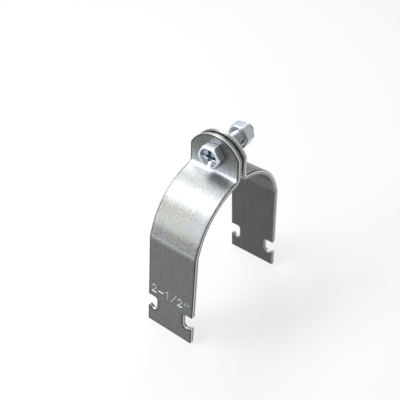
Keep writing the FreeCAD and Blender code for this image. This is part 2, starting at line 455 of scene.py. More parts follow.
@dataclass(frozen=True)
class SizeMark:
    """Pipe size stamped into the leg as plain numerals, in single strokes.

    Each stroke is a chain of points in a box one wide and one high, and each
    sign has its left edge's distance from the strip's edge and its width.
    """

    base: float = 23.7
    height: float = 4.9
    groove: float = 0.40
    depth: float = 0.32
    flat_share: float = 0.8
    lip: float = 0.06
    lip_place: float = 1.25
    lip_width: float = 0.14
    groove_burnish_and_painted_glint: float = 0.8
    ink_step: float = 0.05
    search: float = 2.0

    def strokes(self) -> list[np.ndarray]:
        """Draw the strokes of all signs.

        Returns:
            Chains of (distance from the strip's edge, height) points.
        """
        centre = np.array((0.5, 0.7))
        hook = circle_arc((0.5, 0.7), 0.45, math.radians(165), math.radians(-35), 0.05)
        hook = (hook - centre) * (1.0, 0.66) + centre
        two = [np.vstack([hook, [(0.02, 0.0)]]), np.array([(0.02, 0.0), (1.0, 0.0)])]
        dash = [np.array([(0.0, 0.42), (1.0, 0.42)])]
        one = [np.array([(0.1, 0.78), (0.6, 1.0), (0.6, 0.0)])]
        slash = [np.array([(0.0, -0.1), (1.0, 1.12)])]
        inch = [np.array([(0.0, 0.62), (0.3, 1.0)]), np.array([(0.6, 0.62), (0.9, 1.0)])]
        signs = [(two, 2.4, 3.1), (dash, 7.2, 3.4), (one, 12.3, 2.6), (slash, 16.5, 3.4),
                 (two, 21.1, 3.1), (inch, 26.2, 3.2)]
        return [stroke * (width, self.height) + (left, self.base)
                for sign, left, width in signs for stroke in sign]

    def press(self, across: np.ndarray, climb: np.ndarray) -> tuple[np.ndarray, np.ndarray]:
        """Press the strokes into the skin.

        The depth grows evenly from the groove's edge to its flat bottom, with
        the distance to the nearest stroke found from points close together on
        it, and a low lip is pushed up beside it.

        Args:
            across: distance from the strip's left edge as the mark is read.
            climb: height above the foot along the strip.

        Returns:
            Depth in millimetres, negative where the lip stands proud, and shine: die burnish with a painted
            glint in the groove.
        """
        ink = []
        for stroke in self.strokes():
            length = run_along(stroke)[-1]
            ink.append(points_on(stroke, np.linspace(0, length, math.ceil(length / self.ink_step))))
        away = np.full(len(across), np.inf)
        near = (climb > self.base - self.search) & (climb < self.base + self.height + self.search)
        away[near] = nearest_distance(np.stack([across[near], climb[near]], 1), np.vstack(ink))
        groove = self.depth * np.clip(1 - away / self.groove, 0, self.flat_share)
        lip = self.lip * np.exp(-(((away - self.groove * self.lip_place) / self.lip_width) ** 2))
        # The groove is brightened: die burnish, and a painted glint where its sides would catch the light
        shine = 2 * self.groove_burnish_and_painted_glint - 2 * self.groove_burnish_and_painted_glint * away / self.groove
        return groove - lip, np.clip(shine, 0, self.groove_burnish_and_painted_glint)


@dataclass(frozen=True)
class EdgeRings:
    """Rings of points round one edge of a blank, from its back skin to its grip skin."""

    flat: np.ndarray
    depth: np.ndarray
    shine: np.ndarray
    inner: np.ndarray


@dataclass(frozen=True)
class StrapHalf:
    """One strap half, from its flat blank to its bent and dressed surface.

    The blank is drawn flat in (y, climb): y across the strip, climb along its
    grip skin from the foot to the top of the ear. Bending turns climb into a
    path in X and Z, and the sheet's thickness is laid off along its normal.
    Six stretches follow each other: leg, crease, flange, seat, fold and ear.
    """

    side: Side
    node: str
    body: str
    seat_radius: float
    pipe_z: float
    screw_z: float
    ear_top_z: float
    half_width: float
    thickness: float = 2.66
    ear_inner_x: float = 1.0
    fold_radius: float = 2.2
    crease_radius: float = 2.0
    crease_bend: float = math.radians(18.0)
    splay: float = math.radians(4.0)
    hole_radius: float = 4.35
    tab_height: float = 9.5
    notch_height: float = 10.0
    neck_half: float = 9.5
    notch_top_radius: float = 1.6
    notch_bottom_radius: float = 2.2
    hook_rise: float = 2.0
    hook_tip_radius: float = 0.35
    crown_rise: float = 10.0
    ear_corner_radius: float = 0.8
    # Section of a punched edge: lengths, the heights where land and tear end as shares of the thickness,
    # and the largest share of a bend's radius that the section may reach in
    rollover: tuple[float, float] = (0.32, 0.38)
    rolled_rows: int = 7
    land_end: float = 0.62
    tear_end: float = 0.5
    breakout: float = 0.04
    burr_radius: float = 0.10
    row_gap: float = 0.08
    skin_margin: float = 0.45
    bend_share: float = 0.75
    # Shine, from -1 where it is dull to 1 where it is burnished. On the punched edges that is the finish.
    # The grip skin's value is painted shade, and the ears' facing sides, the fold and the crease get painted
    # light
    pulled_shine: float = -0.6
    rolled_shine: float = -0.8
    land_shine: float = 0.4
    tear_shine: float = -0.4
    torn_shine: float = -0.6
    grip_painted_shade: float = -0.5
    gap_painted_light: float = 0.8
    fold_painted_highlight: float = 0.80
    crease_painted_highlight: float = 0.30
    # How far along the strip the painted light of the ears' facing sides and the painted highlights reach
    facing_fade: float = 2.0
    fold_highlight_reach: tuple[float, float] = (6.0, 8.0)
    crease_highlight_reach: float = 0.45
    # Spacing of the surface's points
    outline_step: float = 0.25
    row_steps: tuple[float, ...] = (1.8, 0.2, 0.9, 0.9, 0.24, 1.2)
    columns: int = 21
    column_margin: float = 1.2
    mark_step: float = 0.14
    mark_margin: tuple[float, float] = (1.1, 1.2)
    mark_gap: float = 0.4
    path_points: int = 8001

    def bends(self) -> tuple[np.ndarray, np.ndarray, float]:
        """Turning of the strip from foot to ear.

        Returns:
            Climb at each end of a stretch, the normal's angle above horizontal
            there, and the X of the foot's grip skin.
        """
        half_bend = self.crease_bend / 2
        reach = self.seat_radius - self.crease_radius
        to_crease = self.splay + half_bend
        leg_top_x = reach / math.cos(half_bend) * math.cos(to_crease)
        leg_top_x += self.crease_radius * math.cos(self.splay)
        leg_top_z = self.pipe_z + reach / math.cos(half_bend) * math.sin(to_crease)
        leg_top_z += self.crease_radius * math.sin(self.splay)
        fold_x = self.ear_inner_x + self.thickness + self.fold_radius
        fold_reach = self.seat_radius + self.thickness + self.fold_radius
        fold_lean = math.acos(fold_x / fold_reach)
        seat_end = self.splay + self.crease_bend
        fold_top_z = self.pipe_z + fold_reach * math.sin(fold_lean)
        stretches = [
            leg_top_z / math.cos(self.splay),
            self.crease_radius * self.crease_bend,
            reach * math.tan(half_bend),
            self.seat_radius * (fold_lean - seat_end),
            (self.fold_radius + self.thickness) * fold_lean,
            self.ear_top_z - fold_top_z,
        ]
        angles = [self.splay, self.splay, seat_end, seat_end, fold_lean, 0.0, 0.0]
        foot_x = leg_top_x + leg_top_z * math.tan(self.splay)
        return np.concatenate([[0.0], np.cumsum(stretches)]), np.array(angles), foot_x

    def place(self, across: np.ndarray, climb: np.ndarray, depth: np.ndarray) -> np.ndarray:
        """Bend points of the flat sheet to their place.

        The grip skin's path is the running sum of its direction (-sin a, cos a),
        and depth is laid off along its normal (cos a, sin a), where a is the
        normal's angle, which changes linearly along each stretch.

        Args:
            across: y of each point.
            climb: distance from the foot along the grip skin.
            depth: distance from the grip skin, towards the back skin.

        Returns:
            Positions, shape (points, 3).
        """
        knots, angles, foot_x = self.bends()
        fine = np.linspace(0, knots[-1], self.path_points)
        middle = np.interp((fine[1:] + fine[:-1]) / 2, knots, angles)
        step = fine[1]
        path_x = foot_x + np.concatenate([[0], np.cumsum(-np.sin(middle) * step)])
        path_z = np.concatenate([[0], np.cumsum(np.cos(middle) * step)])
        lean = np.interp(climb, knots, angles)
        x = np.interp(climb, fine, path_x) + depth * np.cos(lean)
        z = np.interp(climb, fine, path_z) + depth * np.sin(lean)
        return np.stack([self.side.value * x, across, z], 1)

    def outline(self) -> np.ndarray:
        """Draw the blank's edge: straight lines and arcs, mirrored, evened out and softened.

        Returns:
            The edge, anticlockwise from the middle of the foot.
        """
        edge, wall, tab = self.half_width, self.neck_half, self.tab_height
        shoulder = tab + self.notch_height
        root = wall + self.notch_bottom_radius
        run = edge - root
        hook_radius = (run**2 + self.hook_rise**2) / (2 * self.hook_rise)
        tip_y = edge - self.hook_tip_radius
        tip_reach = hook_radius + self.hook_tip_radius
        tip_drop = math.sqrt(tip_reach**2 - (tip_y - root) ** 2)
        tip_angle = math.atan2(tip_drop, root - tip_y)
        top = self.bends()[0][-1]
        crown_radius = (edge**2 + self.crown_rise**2) / (2 * self.crown_rise)
        corner_y = edge - self.ear_corner_radius
        corner_rise = math.sqrt((crown_radius - self.ear_corner_radius) ** 2 - corner_y**2)
        corner_angle = math.atan2(corner_rise, corner_y)
        right = np.vstack([
            [(0, 0), (edge, 0)],
            circle_arc((tip_y, tab + hook_radius - tip_drop), self.hook_tip_radius, 0, tip_angle, 0.05),
            circle_arc((root, tab + hook_radius), hook_radius, tip_angle - math.pi, -math.pi / 2),
            circle_arc((root, tab + self.notch_bottom_radius), self.notch_bottom_radius,
                       -math.pi / 2, -math.pi),
            circle_arc((wall + self.notch_top_radius, shoulder - self.notch_top_radius),
                       self.notch_top_radius, math.pi, math.pi / 2),
            [(edge, shoulder)],
            circle_arc((corner_y, top - crown_radius + corner_rise), self.ear_corner_radius,
                       0, corner_angle),
            circle_arc((0, top - crown_radius), crown_radius, corner_angle, math.pi / 2),
        ])
        left = right[1:-1][::-1] * (-1, 1)
        even = evenly_spaced(np.vstack([right, left]), self.outline_step)
        return averaged(even, 4, 0)

    def hole(self) -> np.ndarray:
        """Edge of the screw hole, clockwise."""
        height = self.bends()[0][-1] - (self.ear_top_z - self.screw_z)
        return circle_arc((0, height), self.hole_radius, math.pi, -math.pi)[:-1]

    def edge_profile(self) -> np.ndarray:
        """Work out the section of a punched edge, from back skin to grip skin.

        The punch pulls the back skin over in a quarter ellipse and leaves it
        dull. The upper quarter of the wall is sheared bright, and the rest
        tears off rough, slightly further in, down to a small burr radius.

        Returns:
            Inset, depth and shine of each row, shape (rows, 3).
        """
        pull, drop = self.rollover
        turn = np.linspace(0, math.pi / 2, self.rolled_rows - 1)
        over = np.stack([pull * (1 - np.sin(turn)), self.thickness - drop * (1 - np.cos(turn)),
                         np.full_like(turn, self.rolled_shine)], 1)
        burr = self.burr_radius
        back = np.linspace(0, math.pi / 2, 3)
        under = np.stack([self.breakout + burr * (1 - np.cos(back)), burr * (1 - np.sin(back)),
                          np.full_like(back, self.torn_shine)], 1)
        land_end = self.land_end * self.thickness
        wall = [
            (0.0, self.thickness - drop - self.row_gap, self.land_shine),
            (0.0, land_end, self.land_shine),
            (0.0, land_end - self.row_gap, self.tear_shine),
            (self.breakout, self.tear_end * self.thickness, self.torn_shine),
            (self.breakout, burr + self.row_gap, self.torn_shine),
        ]
        first = (self.skin_margin, self.thickness, self.pulled_shine)
        last = (self.skin_margin, 0.0, self.grip_painted_shade)
        return np.vstack([[first], over, wall, under, [last]])

    def rim(self, loop: np.ndarray) -> EdgeRings:
        """Lay rings of points round one edge of the blank.

        Each ring is the loop moved inwards along its normal by the section's
        inset, less where the loop bends tighter than that.

        Args:
            loop: edge with the sheet on its left.

        Returns:
            Flat points, depths and shine of all rings, and the innermost ring.
        """
        along = (np.roll(loop, -1, 0) - np.roll(loop, 1, 0)) / 2
        length = np.linalg.norm(along, axis=1)
        inward = np.stack([-along[:, 1], along[:, 0]], 1) / length[:, None]
        second = np.roll(loop, -1, 0) - 2 * loop + np.roll(loop, 1, 0)
        bend = (along[:, 0] * second[:, 1] - along[:, 1] * second[:, 0]) / length**3
        room = np.minimum(1.0, self.bend_share / np.maximum(bend, 1e-6) / self.skin_margin)
        # The least room within four points each way counts, so that no ring folds over itself
        room = np.min([np.roll(room, k) for k in range(-4, 5)], axis=0)
        room = averaged(room[:, None], 6, 0)
        section = self.edge_profile()
        flat = loop[None] + section[:, 0, None, None] * (inward * room)[None]
        depth, shine = np.repeat(section[:, 1:], len(loop), 0).T
        return EdgeRings(flat.reshape(-1, 2), depth, shine, flat[0])

    def skin_grid(self) -> np.ndarray:
        """Spread a skin's inner points, in rows that lie close together where the sheet bends.

        Returns:
            Flat points, shape (points, 2).
        """
        knots = self.bends()[0]
        rows = np.concatenate([np.arange(a, b, (b - a) / math.ceil((b - a) / step))
                               for a, b, step in zip(knots[:-1], knots[1:], self.row_steps)])
        reach = self.half_width - self.column_margin
        columns = np.linspace(-reach, reach, self.columns)
        return np.stack(np.meshgrid(columns, rows[1:]), -1).reshape(-1, 2)

    def mark_grid(self, mark: SizeMark) -> np.ndarray:
        """Spread points closely under the stamped size.

        Args:
            mark: the size.

        Returns:
            Flat points, shape (points, 2).
        """
        reach = self.half_width - self.mark_margin[0]
        margin = self.mark_margin[1]
        y = np.arange(-reach, reach, self.mark_step)
        climb = np.arange(mark.base - margin, mark.base + mark.height + margin, self.mark_step)
        return np.stack(np.meshgrid(y, climb), -1).reshape(-1, 2)

    def build(self, mark: SizeMark | None) -> bpy.types.Object:
        """Make the strap's surface: rings round both edges, and two skins between them.

        Args:
            mark: size stamped into the back skin of the leg, if any.

        Returns:
            The piece, with its developed sheet as a UV map.
        """
        rims = [self.rim(self.outline()), self.rim(self.hole())]
        grid = self.skin_grid()
        if mark:
            fine = self.mark_grid(mark)
            low, high = fine[:, 1].min() - self.mark_gap, fine[:, 1].max() + self.mark_gap
            grid = np.vstack([grid[(grid[:, 1] < low) | (grid[:, 1] > high)], fine])
        flat, triangles = self.skin_triangles(rims[0].inner, rims[1].inner, grid)
        # The back skin gets painted highlights over the bends and, in the stamped size, die burnish with
        # painted glints
        sunk, painted_highlights = np.zeros(len(flat)), self.painted_highlights(flat[:, 1])
        if mark:
            sunk, burnish_and_painted_highlight = mark.press(self.half_width - flat[:, 0], flat[:, 1])
            painted_highlights = np.maximum(painted_highlights, burnish_and_painted_highlight)
        # The ears' facing sides get painted light, so that the gap between them doesn't look black in the
        # sheet's dark colour, and the rest of the grip skin gets painted shade
        facing = np.clip((flat[:, 1] - self.bends()[0][4]) / self.facing_fade, 0, 1)
        grip = self.grip_painted_shade + (self.gap_painted_light - self.grip_painted_shade) * facing
        faces, groups, first = [], [], 0
        for rim in rims:
            around, rolled = len(rim.inner), self.rolled_rows
            walls = len(rim.flat) // around - rolled + 1
            faces += [ring_quads(rolled, around, first),
                      ring_quads(walls, around, first + (rolled - 1) * around)]
            groups += [Region.SKIN.value, Region.SHEARED.value]
            first += len(rim.flat)
        faces += [triangles + first, triangles[:, ::-1] + first + len(flat)]
        groups += [Region.SKIN.value] * 2
        if self.side is Side.SCREW:
            faces = [block[:, ::-1] for block in faces]
        sheet = np.column_stack([np.vstack([rim.flat for rim in rims] + [flat, flat]),
                                 np.concatenate([rim.shine for rim in rims] + [painted_highlights, grip])])
        depth = np.concatenate([rim.depth for rim in rims] + [self.thickness - sunk, np.zeros(len(flat))])
        points = self.place(sheet[:, 0], sheet[:, 1], depth)
        points, faces, sheet = merged(points, faces, sheet)
        piece = write_piece(self.node.replace("strap_half", "strap"), points, faces, groups,
                            sheet[:, 2])
        corners = np.empty(len(piece.data.loops), np.int32)
        piece.data.loops.foreach_get("vertex_index", corners)
        layer = piece.data.uv_layers.new(name="sheet")
        layer.uv.foreach_set("vector", (sheet[corners, :2] / SHEET_UNIT).astype(np.float32).ravel())
        return piece

    def painted_highlights(self, climb: np.ndarray) -> np.ndarray:
        """Work out the painted highlights over the bends.

        A soft bell lies over the fold, reaching further up the ear than down
        the arc, and a thin line over the crease. Each is its height times
        exp(-(distance / reach) squared).

        Args:
            climb: height above the foot along the strip.

        Returns:
            Painted highlight of each point.
        """
        knots = self.bends()[0]
        fold, crease = (knots[4] + knots[5]) / 2, (knots[1] + knots[2]) / 2
        down, up = self.fold_highlight_reach
        reach = np.where(climb > fold, up, down)
        bell = self.fold_painted_highlight * np.exp(-(((climb - fold) / reach) ** 2))
        return bell + self.crease_painted_highlight * np.exp(-(((climb - crease) / self.crease_highlight_reach) ** 2))

    def skin_triangles(self, edge: np.ndarray, hole: np.ndarray,
                       grid: np.ndarray) -> tuple[np.ndarray, np.ndarray]:
        """Fill the blank between its edge and the screw hole.

        Args:
            edge: innermost ring of the blank's edge.
            hole: innermost ring of the hole's edge.
            grid: points to use where they lie on the sheet.

        Returns:
            Flat points of edge, hole and grid, and triangles as point numbers.
        """
        bounds = np.vstack([edge, hole])
        grid = grid[inside(edge, grid) & ~inside(hole, grid)]
        flat = np.vstack([bounds, grid[nearest_distance(grid, bounds) > 0.8 * self.outline_step]])
        here = np.arange(len(bounds))
        after = here + 1
        after[[len(edge) - 1, -1]] = (0, len(edge))
        ties = np.stack([here, after], 1).tolist()
        # Everything out to the convex hull is filled, and then only what lies on the sheet is kept
        _, _, cells, sources, _, _ = delaunay_2d_cdt(flat.tolist(), ties, [], 0, 1e-7, True)
        triangles = np.array([ids[0] for ids in sources])[np.array(cells)]
        middle = flat[triangles].mean(1)
        return flat, triangles[inside(edge, middle) & ~inside(hole, middle)]

    def dress(self, piece: bpy.types.Object, skin: bpy.types.Material,
              edge: bpy.types.Material) -> None:
        """Give the piece its finishes and tie it to the construction model.

        Args:
            piece: the strap's surface.
            skin: finish of the rolled skins.
            edge: finish of the sheared edges.
        """
        piece.data.materials.append(skin)
        piece.data.materials.append(edge)
        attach(piece, self.body)
        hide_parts(self.node)


def merged(points: np.ndarray, faces: list[np.ndarray],
           sheet: np.ndarray) -> tuple[np.ndarray, list[np.ndarray], np.ndarray]:
    """Join vertices whose places are the same to a ten-thousandth of a millimetre, and drop unused ones.

    Args:
        points: positions in millimetres.
        faces: arrays of vertex numbers.
        sheet: flat place and shine of each vertex.

    Returns:
        The three arguments again, with one vertex for each spot.
    """
    _, first, number = np.unique(np.round(points, 4), axis=0, return_index=True, return_inverse=True)
    number = number.reshape(-1)
    faces = [number[block] for block in faces]
    used = np.zeros(len(first), bool)
    for block in faces:
        used[block.ravel()] = True
    renumber = np.cumsum(used) - 1
    return points[first[used]], [renumber[block] for block in faces], sheet[first[used]]


@dataclass(frozen=True)
class Thread:
    """Right-hand 5/16-18 thread about the screw's axis."""

    pitch: float = 25.4 / 18
    major_radius: float = 3.95
    cut: float = 0.82
    flank: float = math.radians(30)

    def radius(self, x: np.ndarray, angle: np.ndarray) -> np.ndarray:
        """Radius of the thread's surface.

        The crest's middle lies where x / pitch equals angle / turn. From the
        flat crest, a sixteenth of the pitch each side, the flanks fall at 30
        degrees from the radius to the flat root.

        Args:
            x: distance along the axis.
            angle: angle about +X, from +Y towards +Z.

        Returns:
            Radius in millimetres.
        """
        turns = x / self.pitch - angle / (2 * math.pi)
        from_crest = np.abs(turns - np.round(turns)) * self.pitch
        fall = (from_crest - self.pitch / 16) / math.tan(self.flank)
        return self.major_radius - np.clip(fall, 0, self.cut)


@dataclass(frozen=True)
class Hexagon:
    """Six flats about the screw's axis with lightly rounded corners."""

    across_flats: float = 12.7
    turn: float = math.radians(25.0)
    chamfer: float = math.radians(30)

    def radius(self, angle: np.ndarray) -> np.ndarray:
        """Distance from axis to surface: half the width over the cosine from the flat's middle.

        Args:
            angle: angles about the axis.

        Returns:
            Radius in millimetres, with the corners softened.
        """
        sixth = math.pi / 3
        from_flat = (angle - self.turn + sixth / 2) % sixth - sixth / 2
        return averaged(self.across_flats / 2 / np.cos(from_flat), 2, -1)

    def fall(self, radius: np.ndarray, rim: float) -> np.ndarray:
        """How far the chamfer, a cone that starts at the rim, lies below the face at a radius."""
        return (radius - rim) * math.tan(self.chamfer)


@dataclass(frozen=True)
class TurnedGrid:
    """Rows of points about the screw's axis, one column for each angle."""

    axis_z: float
    around: int = 180

    def angles(self) -> np.ndarray:
        """Angles of the columns, from +Y towards +Z."""
        return np.arange(self.around) * 2 * math.pi / self.around

    def points(self, x: np.ndarray, radius: np.ndarray) -> np.ndarray:
        """Positions of all rows: (x, r cos a, axis + r sin a)."""
        angle = self.angles()[None]
        return np.stack([x, radius * np.cos(angle), self.axis_z + radius * np.sin(angle)], -1).reshape(-1, 3)


@dataclass
class Meridian:
    """Rows of x, radius and shine on a turned surface, added stretch by stretch."""

    stretches: list[np.ndarray] = field(default_factory=list)

    def add(self, x: np.ndarray | float, radius: np.ndarray, shine: np.ndarray | float = 0.0) -> None:
        """Add a stretch, in which a single value or row stands for all its rows."""
        self.stretches.append(np.stack(np.broadcast_arrays(x, radius, shine)))

    def rows(self) -> np.ndarray:
        """All rows so far, shape (3, rows, columns)."""
        return np.concatenate(self.stretches, 1)


def rows_between(start: np.ndarray, end: np.ndarray, step: float) -> np.ndarray:
    """Rows of values from start up to, but not with, end.

    Args:
        start: first row.
        end: row that the next stretch starts with.
        step: about how far apart the rows lie where they lie furthest.

    Returns:
        Rows, shape (rows, columns).
    """
    count = max(1, math.ceil(float(np.abs(end - start).max()) / step))
    share = (np.arange(count) / count)[:, None]
    return start[None] * (1 - share) + end[None] * share


def softened(rows: np.ndarray) -> np.ndarray:
    """Round the corners between rows: twice, each inner row becomes a quarter, half, quarter mean.

    Args:
        rows: values, shape (kinds, rows, columns).

    Returns:
        The softened rows.
    """
    for _ in range(2):
        inner = (rows[:, :-2] + 2 * rows[:, 1:-1] + rows[:, 2:]) / 4
        rows = np.concatenate([rows[:, :1], inner, rows[:, -1:]], 1)
    return rows


@dataclass(frozen=True)
class MachineScrew:
    """Hex-head machine screw with a dished head, a cross recess and a slot."""

    node: str
    body: str
    grid: TurnedGrid
    face_x: float
    tip_x: float
    thread: Thread = Thread()
    hexagon: Hexagon = Hexagon()
    head_height: float = 5.3
    corner_chamfer: float = 0.5
    rim: float = 0.45
    dish_depth: float = 1.3
    dish_draft: float = 0.7
    recess_reach: float = 3.8
    recess_half_arm: float = 1.05
    recess_depth: float = 2.9
    recess_bottom_share: float = 0.45
    slot_half_width: float = 0.8
    slot_depth: float = 1.1
    slot_draft: float = 0.12
    neck_fillet: float = 0.3
    tip_chamfer: float = 1.0
    # Radius of the smallest ring of the head and of the tip, inside which a pole closes them
    pole_radii: tuple[float, float] = (0.07, 0.2)
    # Painted light and shade, from -1 for the darkest painted shade to 1 for the brightest painted highlight
    dish_painted_shade: float = -0.25
    rim_painted_highlight: float = 0.8
    flats_painted_light: float = 0.4
    crest_painted_highlight: float = 0.8
    root_painted_shade: float = -1.0
    shade_depth: float = 0.9
    # Spacing of the surface's rows
    dish_step: float = 0.085
    rim_step: float = 0.09
    flats_step: float = 0.16
    fillet_step: float = 0.1
    thread_step: float = 0.12
    tip_step: float = 0.3

    def recess(self, y: np.ndarray, z: np.ndarray) -> np.ndarray:
        """Depth of cross and slot under the dish.

        Inside the cross, depth grows as the cross that passes through the
        point shrinks from full size to its bottom. The slot is a level trench.

        Args:
            y: distance from the axis along the slot.
            z: distance from the axis across the slot.

        Returns:
            Depth in millimetres.
        """
        arm_y = np.maximum(np.abs(y) / self.recess_reach, np.abs(z) / self.recess_half_arm)
        arm_z = np.maximum(np.abs(z) / self.recess_reach, np.abs(y) / self.recess_half_arm)
        share = (1 - np.minimum(arm_y, arm_z)) / (1 - self.recess_bottom_share)
        cross = self.recess_depth * np.clip(share, 0, 1)
        reach = self.hexagon.across_flats / 2 - self.corner_chamfer - self.rim - self.dish_draft
        from_wall = np.minimum(self.slot_half_width - np.abs(z), reach - np.hypot(y, z))
        slot = self.slot_depth * np.clip(from_wall / self.slot_draft, 0, 1)
        return np.maximum(cross, slot)

    def head_rows(self) -> np.ndarray:
        """Work out the head, from the middle of the dish over the rim, down the flats and under.

        Returns:
            x, radius and shine of each row, shape (3, rows, columns).
        """
        angle = self.grid.angles()
        flat = self.hexagon.radius(angle)
        one = np.ones_like(angle)
        rim_out = self.hexagon.across_flats / 2 - self.corner_chamfer
        rim_in = rim_out - self.rim
        neck = self.thread.major_radius
        seat_x = self.face_x + self.head_height
        head = Meridian()
        face_r = rows_between(self.pole_radii[0] * one, rim_in * one, self.dish_step)
        dish = self.dish_depth * np.clip((rim_in - face_r) / self.dish_draft, 0, 1)
        recess = self.recess(face_r * np.cos(angle), face_r * np.sin(angle))
        # Painted shade in the dish and the recess, darker with depth
        recess_shade = self.dish_painted_shade * dish / self.dish_depth
        recess_shade = recess_shade + self.dish_painted_shade * np.clip(recess / self.shade_depth, 0, 1)
        head.add(self.face_x + dish + recess, face_r, recess_shade)
        # Painted highlight on the rim and the chamfer
        head.add(self.face_x, rows_between(rim_in * one, rim_out * one, self.rim_step), self.rim_painted_highlight)
        cone_r = rows_between(rim_out * one, flat, self.rim_step)
        head.add(self.face_x + self.hexagon.fall(cone_r, rim_out), cone_r, self.rim_painted_highlight)
        corner_x = self.face_x + self.hexagon.fall(flat, rim_out)
        # Painted light on the flats
        head.add(rows_between(corner_x, seat_x * one, self.flats_step), flat, self.flats_painted_light)
        head.add(seat_x, rows_between(flat, (neck + self.neck_fillet) * one, self.flats_step))
        head.add(rows_between(seat_x * one, (seat_x + self.neck_fillet) * one, self.fillet_step),
                 rows_between((neck + self.neck_fillet) * one, neck * one, self.fillet_step))
        return softened(head.rows())

    def shank_rows(self) -> np.ndarray:
        """Work out the threaded shank and its pointed end.

        Returns:
            x, radius and shine of each row, shape (3, rows, columns).
        """
        angle = self.grid.angles()
        one = np.ones_like(angle)
        start = self.face_x + self.head_height + self.neck_fillet
        x = rows_between(start * one, self.tip_x * one, self.thread_step)
        threaded = self.thread.radius(x, angle[None])
        # The thread reaches its full depth a turn below the head
        runout = np.clip((x - start) / self.thread.pitch, 0, 1)
        radius = self.thread.major_radius + (threaded - self.thread.major_radius) * runout
        end_radius = self.thread.major_radius - self.tip_chamfer
        radius = np.minimum(radius, end_radius + (self.tip_x - x))
        end_r = rows_between(np.minimum(radius[-1], end_radius), self.pole_radii[1] * one, self.tip_step)
        # Painted highlight on the thread's crests, fading to painted shade in its roots
        fade = self.crest_painted_highlight - self.root_painted_shade
        shank = Meridian()
        shank.add(x, radius, self.crest_painted_highlight - fade * (self.thread.major_radius - radius) / self.thread.cut)
        shank.add(self.tip_x, end_r)
        return shank.rows()

    def build(self) -> bpy.types.Object:
        """Make the screw as one closed surface from the dish's middle to the point.

        Returns:
            The piece.
        """
        x, r, shine = np.concatenate([self.head_rows(), self.shank_rows()], 1)
        around = self.grid.around
        poles = [(x[0].mean(), 0, self.grid.axis_z), (x[-1].mean(), 0, self.grid.axis_z)]
        points = np.vstack([self.grid.points(x, r), poles])
        step = np.arange(around)
        after = (step + 1) % around
        first_pole, last_pole = len(x) * around, len(x) * around + 1
        last = (len(x) - 1) * around
        caps = [np.stack([np.full(around, first_pole), step, after], 1)[:, ::-1],
                np.stack([np.full(around, last_pole), last + step, last + after], 1)]
        quads = ring_quads(len(x), around)[:, ::-1]
        shine = np.append(shine.ravel(), [shine[0].mean(), 0])
        return write_piece("screw", points, [quads, *caps], shine=shine)

    def dress(self, piece: bpy.types.Object, finish: bpy.types.Material) -> None:
        """Give the screw its finish and tie it to the construction model.

        Args:
            piece: the screw's surface.
            finish: finish of all of it.
        """
        piece.data.materials.append(finish)
        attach(piece, self.body)
        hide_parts(self.node)


@dataclass(frozen=True)
class HexNut:
    """Plain hexagon nut with a thread that meshes with the screw's."""

    node: str
    body: str
    grid: TurnedGrid
    start_x: float
    end_x: float
    thread: Thread = Thread()
    hexagon: Hexagon = Hexagon()
    corner_chamfer: float = 0.45
    countersink: float = 0.35
    thread_clearance: float = 0.09
    minor_radius: float = 3.34
    # Painted light and shade, from -1 for the darkest painted shade to 1 for the brightest painted highlight
    face_painted_light: float = 0.4
    bore_painted_shade: float = -0.6
    # Spacing of the surface's rows
    face_step: float = 0.12
    cone_step: float = 0.09
    flats_step: float = 0.16
    bore_step: float = 0.115

    def build(self) -> bpy.types.Object:
        """Make the nut as one closed ring: out over a face, along the flats, back and through the bore.

        Returns:
            The piece.
        """
        angle = self.grid.angles()
        one = np.ones_like(angle)
        flat = self.hexagon.radius(angle)
        rim = self.hexagon.across_flats / 2 - self.corner_chamfer
        mouth = self.thread.major_radius + self.thread_clearance + self.countersink
        outside = Meridian()
        # Painted light on both faces and their chamfers
        outside.add(self.start_x, rows_between(mouth * one, rim * one, self.face_step), self.face_painted_light)
        cone_r = rows_between(rim * one, flat, self.cone_step)
        outside.add(self.start_x + self.hexagon.fall(cone_r, rim), cone_r, self.face_painted_light)
        fall = self.hexagon.fall(flat, rim)
        outside.add(rows_between(self.start_x + fall, self.end_x - fall, self.flats_step), flat)
        cone_r = rows_between(flat, rim * one, self.cone_step)
        outside.add(self.end_x - self.hexagon.fall(cone_r, rim), cone_r, self.face_painted_light)
        outside.add(self.end_x, rows_between(rim * one, mouth * one, self.face_step), self.face_painted_light)
        shape, shine = outside.rows()[:2], outside.rows()[2:]
        bore_x = rows_between(self.end_x * one, self.start_x * one, self.bore_step)
        cut = self.thread.radius(bore_x, angle[None]) + self.thread_clearance
        depth = np.minimum(self.end_x - bore_x, bore_x - self.start_x)
        bore = Meridian()
        # Painted shade in the bore
        bore.add(bore_x, np.maximum(np.maximum(cut, self.minor_radius), mouth - depth), self.bore_painted_shade)
        x, r, shine = np.concatenate([np.concatenate([softened(shape), shine]), bore.rows()], 1)
        quads = ring_quads(len(x), self.grid.around, closed=True)[:, ::-1]
        return write_piece("nut", self.grid.points(x, r), [quads], shine=shine.ravel())

    def dress(self, piece: bpy.types.Object, finish: bpy.types.Material) -> None:
        """Give the nut its finish and tie it to the construction model.

        Args:
            piece: the nut's surface.
            finish: finish of all of it.
        """
        piece.data.materials.append(finish)
        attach(piece, self.body)
        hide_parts(self.node)


